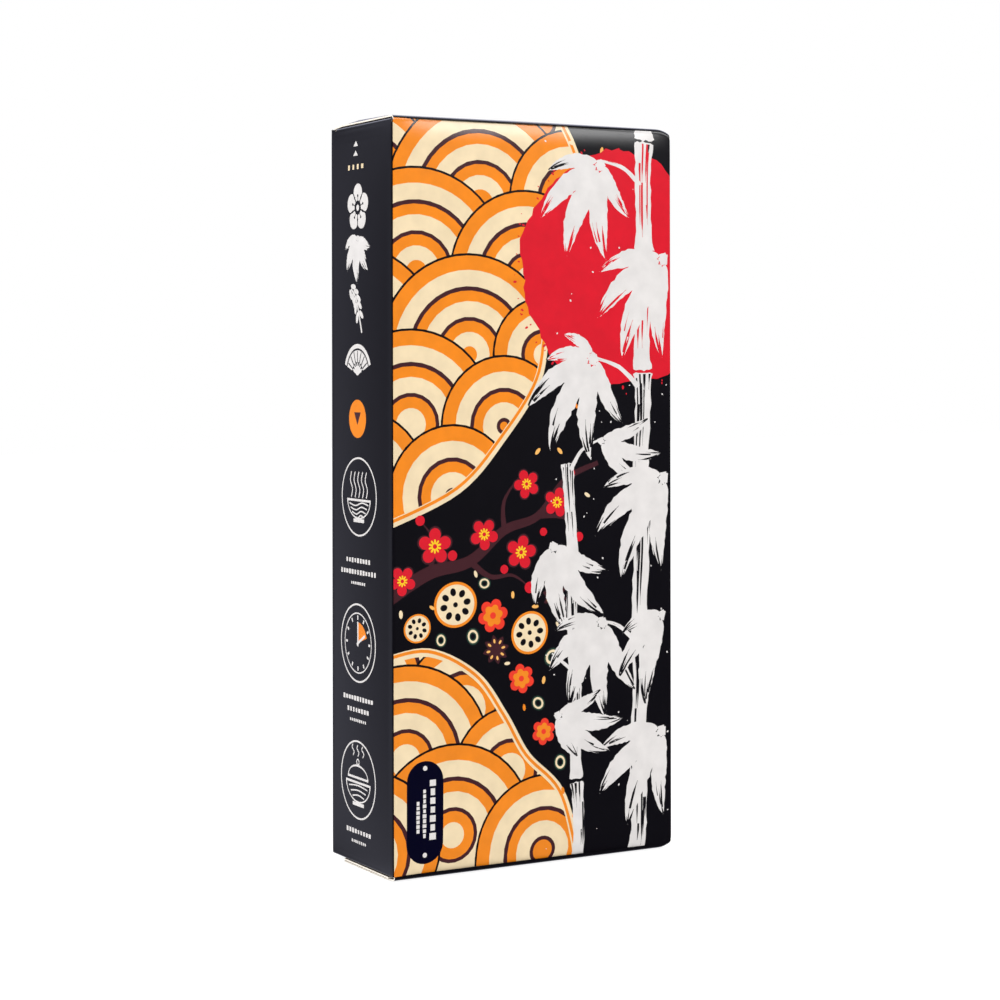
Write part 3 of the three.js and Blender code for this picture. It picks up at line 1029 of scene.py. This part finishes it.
def cut_sheet():
    """The sheet cut again along the borders that show and the folds, with the ink of each triangle."""
    flat, triangles, inks = inked_triangles()
    ink_at = {}
    for (a, b, c), ink in zip(triangles, inks):
        for start, end in ((a, b), (b, c), (c, a)):
            ink_at[start, end] = ink
    borders = [(a, b) for (a, b), ink in ink_at.items() if a < b and ink_at.get((b, a), ink) != ink]
    used = {i: k for k, i in enumerate(sorted({i for border in borders for i in border}))}
    corners = [flat[i] for i in used]
    edges = [(used[a], used[b]) for a, b in borders]
    outline = blank_outline()
    field = list(range(len(corners), len(corners) + len(outline)))
    corners.extend(Vector(point) for point in outline)
    for line in crease_lines():
        edges.append((len(corners), len(corners) + 1))
        corners.extend(Vector(point) for point in line)
    # A loose grid of corners over the whole sheet lets the walls bow smoothly.
    for row in range(-4, 33):
        for column in range(-18, 17):
            corners.append(Vector((GRID * (column + 0.5 * (row % 2)) + 0.7, GRID * row + 2.3)))
    sheet, _, faces, _, _, sources = geometry.delaunay_2d_cdt(corners, edges, [field], 1, JOIN_GAP)
    finder = BVHTree.FromPolygons([(*point, 0) for point in flat], triangles)
    kept, kept_inks = [], []
    for face, source in zip(faces, sources):
        if source:
            u, v = sum((sheet[i] for i in face), Vector((0, 0))) / 3
            kept.append(face)
            kept_inks.append(inks[finder.find_nearest((u, v, 0))[2]])
    return sheet, kept, kept_inks


def facing(u, v):
    """The direction that the printed face looks in at a point of the sheet."""
    small = 0.02
    along_u = place(u + small, v) - place(u - small, v)
    along_v = place(u, v + small) - place(u, v - small)
    return along_u.cross(along_v).normalized()


def fold_carton():
    """The mesh of the folded board: its printed face, its inner face and its raw edges."""
    flat, triangles, inks = cut_sheet()
    used = sorted({i for triangle in triangles for i in triangle})
    number = {corner: i for i, corner in enumerate(used)}
    triangles = [tuple(number[i] for i in triangle) for triangle in triangles]
    outer = [place(*flat[i]) for i in used]
    facings = [facing(*flat[i]) for i in used]
    count = len(used)
    sides = dict.fromkeys(side for a, b, c in triangles for side in ((a, b), (b, c), (c, a)))
    rim = [(start, end) for start, end in sides if (end, start) not in sides]
    points = [p * MM for p in outer] + [(p - BOARD * n) * MM for p, n in zip(outer, facings)]
    faces = list(triangles)
    faces += [(c + count, b + count, a + count) for a, b, c in triangles]
    faces += [(end, start, start + count, end + count) for start, end in rim]
    mesh = bpy.data.meshes.new("folded_carton")
    mesh.from_pydata(points, [], faces)
    back, raw = len(INKS), len(INKS) + 1
    mesh.polygons.foreach_set("material_index", inks + [back] * len(triangles) + [raw] * len(rim))
    mesh.update()
    normals = []
    for face in mesh.polygons:
        for corner in face.vertices:
            if face.index < len(triangles):
                normals.append(facings[corner])
            elif face.index < 2 * len(triangles):
                normals.append(-facings[corner - count])
            else:
                normals.append(face.normal.copy())
    mesh.normals_split_custom_set(normals)
    return mesh


carton = bpy.data.objects.new("folded_carton", fold_carton())
bpy.context.scene.collection.objects.link(carton)

# The finishes
# The printed face is offset ink on clay-coated board under a matt film: it looks deep and soft,
# with a broad dim sheen, faint mottle, and the board's fibre just showing through as fine relief.


def tone(code, share=1.0):
    """An sRGB hex colour turned linear, times a share."""
    values = [int(code[i : i + 2], 16) / 255 for i in (1, 3, 5)]
    linear = [c / 12.92 if c <= 0.04045 else ((c + 0.055) / 1.055) ** 2.4 for c in values]
    return (*(clamp(c * share) for c in linear), 1)


def add(tree, kind, settings=(), **inputs):
    """Adds a node with its settings, and gives each input a value or a link."""
    node = tree.nodes.new("ShaderNode" + kind)
    for name, value in dict(settings).items():
        setattr(node, name, value)
    for name, value in inputs.items():
        socket = node.inputs[name.replace("_", " ")]
        if isinstance(value, bpy.types.NodeSocket):
            tree.links.new(value, socket)
        else:
            socket.default_value = value
    return node


def per(millimetres):
    """The noise scale whose blotches are that many millimetres across."""
    return 1 / (millimetres * MM)


# The share of the ink's own brightness that comes back through the film.
FILM_CLEAR = 0.86
PAPER_FIBRE = 0.5


def new_material(name):
    """A material with no nodes yet."""
    material = bpy.data.materials.new(name)
    material.use_nodes = True
    material.node_tree.nodes.clear()
    return material


def matt_film_print(ink, code):
    """Offset ink under matt film: a soft, even field with a faint mottle and a broad dim sheen.

    The ink lies unevenly over 5 mm and handling dulls the film over 24 mm. Paper fibres are finer
    than the render can show, so their relief is drawn half a millimetre across.
    """
    material = new_material("matt_film_print_" + ink)
    tree = material.node_tree
    place_on = add(tree, "TexCoord").outputs["Object"]
    mottle = add(tree, "TexNoise", Vector=place_on, Scale=per(5), Detail=4.0)
    shade = add(tree, "ValToRGB", Fac=mottle.outputs["Fac"])
    for stop, position, share in zip(shade.color_ramp.elements, (0.3, 0.7), (0.93, 1.04)):
        stop.position = position
        stop.color = tone(code, share * FILM_CLEAR)
    handling = add(tree, "TexNoise", Vector=place_on, Scale=per(24), Detail=3.0)
    rough = add(tree, "MapRange", Value=handling.outputs["Fac"], To_Min=0.27, To_Max=0.32)
    fibre = add(tree, "TexNoise", Vector=place_on, Scale=per(PAPER_FIBRE), Detail=3.0)
    relief = add(tree, "Bump", Height=fibre.outputs["Fac"], Strength=0.12, Distance=0.02 * MM)
    surface = add(
        tree,
        "BsdfPrincipled",
        Base_Color=shade.outputs["Color"],
        Roughness=rough.outputs["Result"],
        IOR=1.5,
        Normal=relief.outputs["Normal"],
    )
    add(tree, "OutputMaterial", Surface=surface.outputs["BSDF"])
    return material


def bare_board(name, dark, pale, lowest=1.0):
    """Board with no print: chalky, with short fibres, and darkened with painted shade where it stands
    on the floor.

    Lowest is the share of light that the painted shade along the bottom keeps. It ends half a
    millimetre up.
    """
    material = new_material(name)
    tree = material.node_tree
    place_on = add(tree, "TexCoord").outputs["Object"]
    fibres = add(tree, "TexNoise", Vector=place_on, Scale=per(0.4), Detail=5.0)
    shade = add(tree, "ValToRGB", Fac=fibres.outputs["Fac"])
    for stop, position, code in zip(shade.color_ramp.elements, (0.25, 0.75), (dark, pale)):
        stop.position = position
        stop.color = tone(code)
    # Painted shade: below 0.4 mm up, the colour is darkened to the share that lowest gives. It comes
    # back to full by 0.6 mm, where the edge meets the floor.
    level = add(tree, "SeparateXYZ", Vector=place_on).outputs["Z"]
    unshaded_above = add(tree, "MapRange", Value=level, From_Min=0.4 * MM, From_Max=0.6 * MM, To_Min=lowest)
    painted_contact_shade = add(tree, "Mix", {"data_type": "RGBA", "blend_type": "MULTIPLY"})
    painted_contact_shade.inputs["Factor"].default_value = 1.0
    tree.links.new(shade.outputs["Color"], painted_contact_shade.inputs[6])
    tree.links.new(unshaded_above.outputs["Result"], painted_contact_shade.inputs[7])
    relief = add(tree, "Bump", Height=fibres.outputs["Fac"], Strength=0.4, Distance=0.05 * MM)
    surface = add(
        tree,
        "BsdfPrincipled",
        Base_Color=painted_contact_shade.outputs[2],
        Roughness=0.85,
        IOR=1.45,
        Normal=relief.outputs["Normal"],
    )
    add(tree, "OutputMaterial", Surface=surface.outputs["BSDF"])
    return material


for ink, code in INKS.items():
    carton.data.materials.append(matt_film_print(ink, code))
carton.data.materials.append(bare_board("grey_back_of_board", "#6d655b", "#8f867a"))
# The cut edges carry painted shade along the bottom, down to 0.72 of their colour, where they meet the
# floor.
carton.data.materials.append(bare_board("cut_edge_of_board", "#dccfbd", "#fbf7f0", 0.72))
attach(carton, "root")
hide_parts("carton")

# The studio
# The carton stands on a white sweep. In its gloss the front shows the dark half of the room, and the
# left side the pale half behind it. A softbox high on the right gives the sheen along the top.
FOCAL_PIXELS = 2339.4
IMAGE_PIXELS = 1000
HORIZON_PIXEL = 355.6
SENSOR = 36
CAMERA_PLACE = (-367.70, -647.06, 157.71 + BULGE)
CAMERA_ROLL = 0.107
CAMERA_HEADING = -29.546
FLOOR_REACH = 3
WHITE = (1, 1, 1, 1)

camera_data = bpy.data.cameras.new("camera")
camera_data.sensor_width = SENSOR
camera_data.lens = FOCAL_PIXELS / IMAGE_PIXELS * SENSOR
camera_data.shift_y = (HORIZON_PIXEL - IMAGE_PIXELS / 2) / IMAGE_PIXELS
camera_data.clip_start = 0.05
camera = bpy.data.objects.new("camera", camera_data)
camera.location = Vector(CAMERA_PLACE) * MM
camera.rotation_euler = [radians(turned) for turned in (90, CAMERA_ROLL, CAMERA_HEADING)]
bpy.context.scene.collection.objects.link(camera)
bpy.context.scene.camera = camera

floor_mesh = bpy.data.meshes.new("floor")
floor_corners = [(FLOOR_REACH * a, FLOOR_REACH * b, 0) for a, b in ((-1, -1), (1, -1), (1, 1), (-1, 1))]
floor_mesh.from_pydata(floor_corners, [], [(0, 1, 2, 3)])
floor = bpy.data.objects.new("floor", floor_mesh)
bpy.context.scene.collection.objects.link(floor)
floor_material = new_material("white_studio_sweep")
floor_tree = floor_material.node_tree
floor_place = add(floor_tree, "TexCoord").outputs["Object"]
floor_grain = add(floor_tree, "TexNoise", Vector=floor_place, Scale=per(30), Detail=2.0)
floor_shade = add(floor_tree, "ValToRGB", Fac=floor_grain.outputs["Fac"])
floor_shade.color_ramp.elements[0].color = tone("#8e8e8e")
floor_shade.color_ramp.elements[1].color = tone("#949494")
floor_surface = add(
    floor_tree,
    "BsdfPrincipled",
    Base_Color=floor_shade.outputs["Color"],
    Roughness=0.9,
    Specular_IOR_Level=0.0,
    Emission_Color=WHITE,
    Emission_Strength=0.9,
)
add(floor_tree, "OutputMaterial", Surface=floor_surface.outputs["BSDF"])
floor_mesh.materials.append(floor_material)
floor.visible_glossy = False

# Gloss sees a bluish glow behind the carton alone, which fades out towards the left. Its levels run
# from the lowest part of the room to the highest. The camera sees plain white.
GLOW = ((0.0, 0.6), (0.25, 0.7), (0.5, 0.36), (0.72, 0.5), (1.0, 2.2))
GLOW_TINT = Vector((0.8, 0.82, 1.0))
world = bpy.data.worlds.new("studio")
bpy.context.scene.world = world
world.use_nodes = True
room = world.node_tree
room.nodes.clear()
toward = add(room, "SeparateXYZ", Vector=add(room, "TexCoord").outputs["Generated"]).outputs
behind = add(room, "MapRange", Value=toward["Y"], From_Min=0.0, From_Max=0.3).outputs["Result"]
strength = add(room, "MapRange", Value=toward["X"], From_Min=-0.53, From_Max=-0.33, To_Max=behind)
height = add(room, "MapRange", Value=toward["Z"], From_Min=-0.4, From_Max=0.4)
glow = add(room, "ValToRGB", Fac=height.outputs["Result"])
while len(glow.color_ramp.elements) < len(GLOW):
    glow.color_ramp.elements.new(0.5)
for stop, (position, level) in zip(glow.color_ramp.elements, GLOW):
    stop.position = position
    stop.color = (*(level * GLOW_TINT), 1)
dim = add(room, "Background", Color=glow.outputs["Color"], Strength=strength.outputs["Result"])
shown = add(room, "Background", Color=WHITE, Strength=0.6)
ray = add(room, "LightPath")
plain = add(room, "Background", Color=WHITE, Strength=1.0)
for kind, background in (("Is Glossy Ray", dim), ("Is Camera Ray", plain)):
    mixed = add(room, "MixShader", Fac=ray.outputs[kind])
    room.links.new(shown.outputs[0], mixed.inputs[1])
    room.links.new(background.outputs[0], mixed.inputs[2])
    shown = mixed
add(room, "OutputWorld", Surface=shown.outputs[0])


def softbox(name, at, aim, width, height, radiance, mirrored=True):
    """A softbox as bright as its radiance says. Mirrored is whether gloss shows it."""
    data = bpy.data.lights.new(name, "AREA")
    data.shape = "RECTANGLE"
    data.size = width
    data.size_y = height
    data.energy = radiance * pi * width * height
    light = bpy.data.objects.new(name, data)
    light.location = at
    light.rotation_euler = (Vector(aim) - Vector(at)).to_track_quat("-Z", "Y").to_euler()
    light.visible_glossy = mirrored
    light.visible_camera = False
    bpy.context.scene.collection.objects.link(light)


# The narrow softbox gives the sheen, and the two broad ones only light the carton.
softbox("front_softbox", (0.54, -0.96, 0.83), (0, 0, 0.2), 0.75, 0.28, 11.0)
softbox("top_softbox", (0, 0.1, 1.9), (0, 0, 0), 2.4, 2.4, 1.0, mirrored=False)
softbox("left_softbox", (-1.5, 0.45, 0.55), (0, 0, 0.12), 1.2, 1.2, 3.3, mirrored=False)
bpy.context.scene.view_settings.view_transform = "Standard"
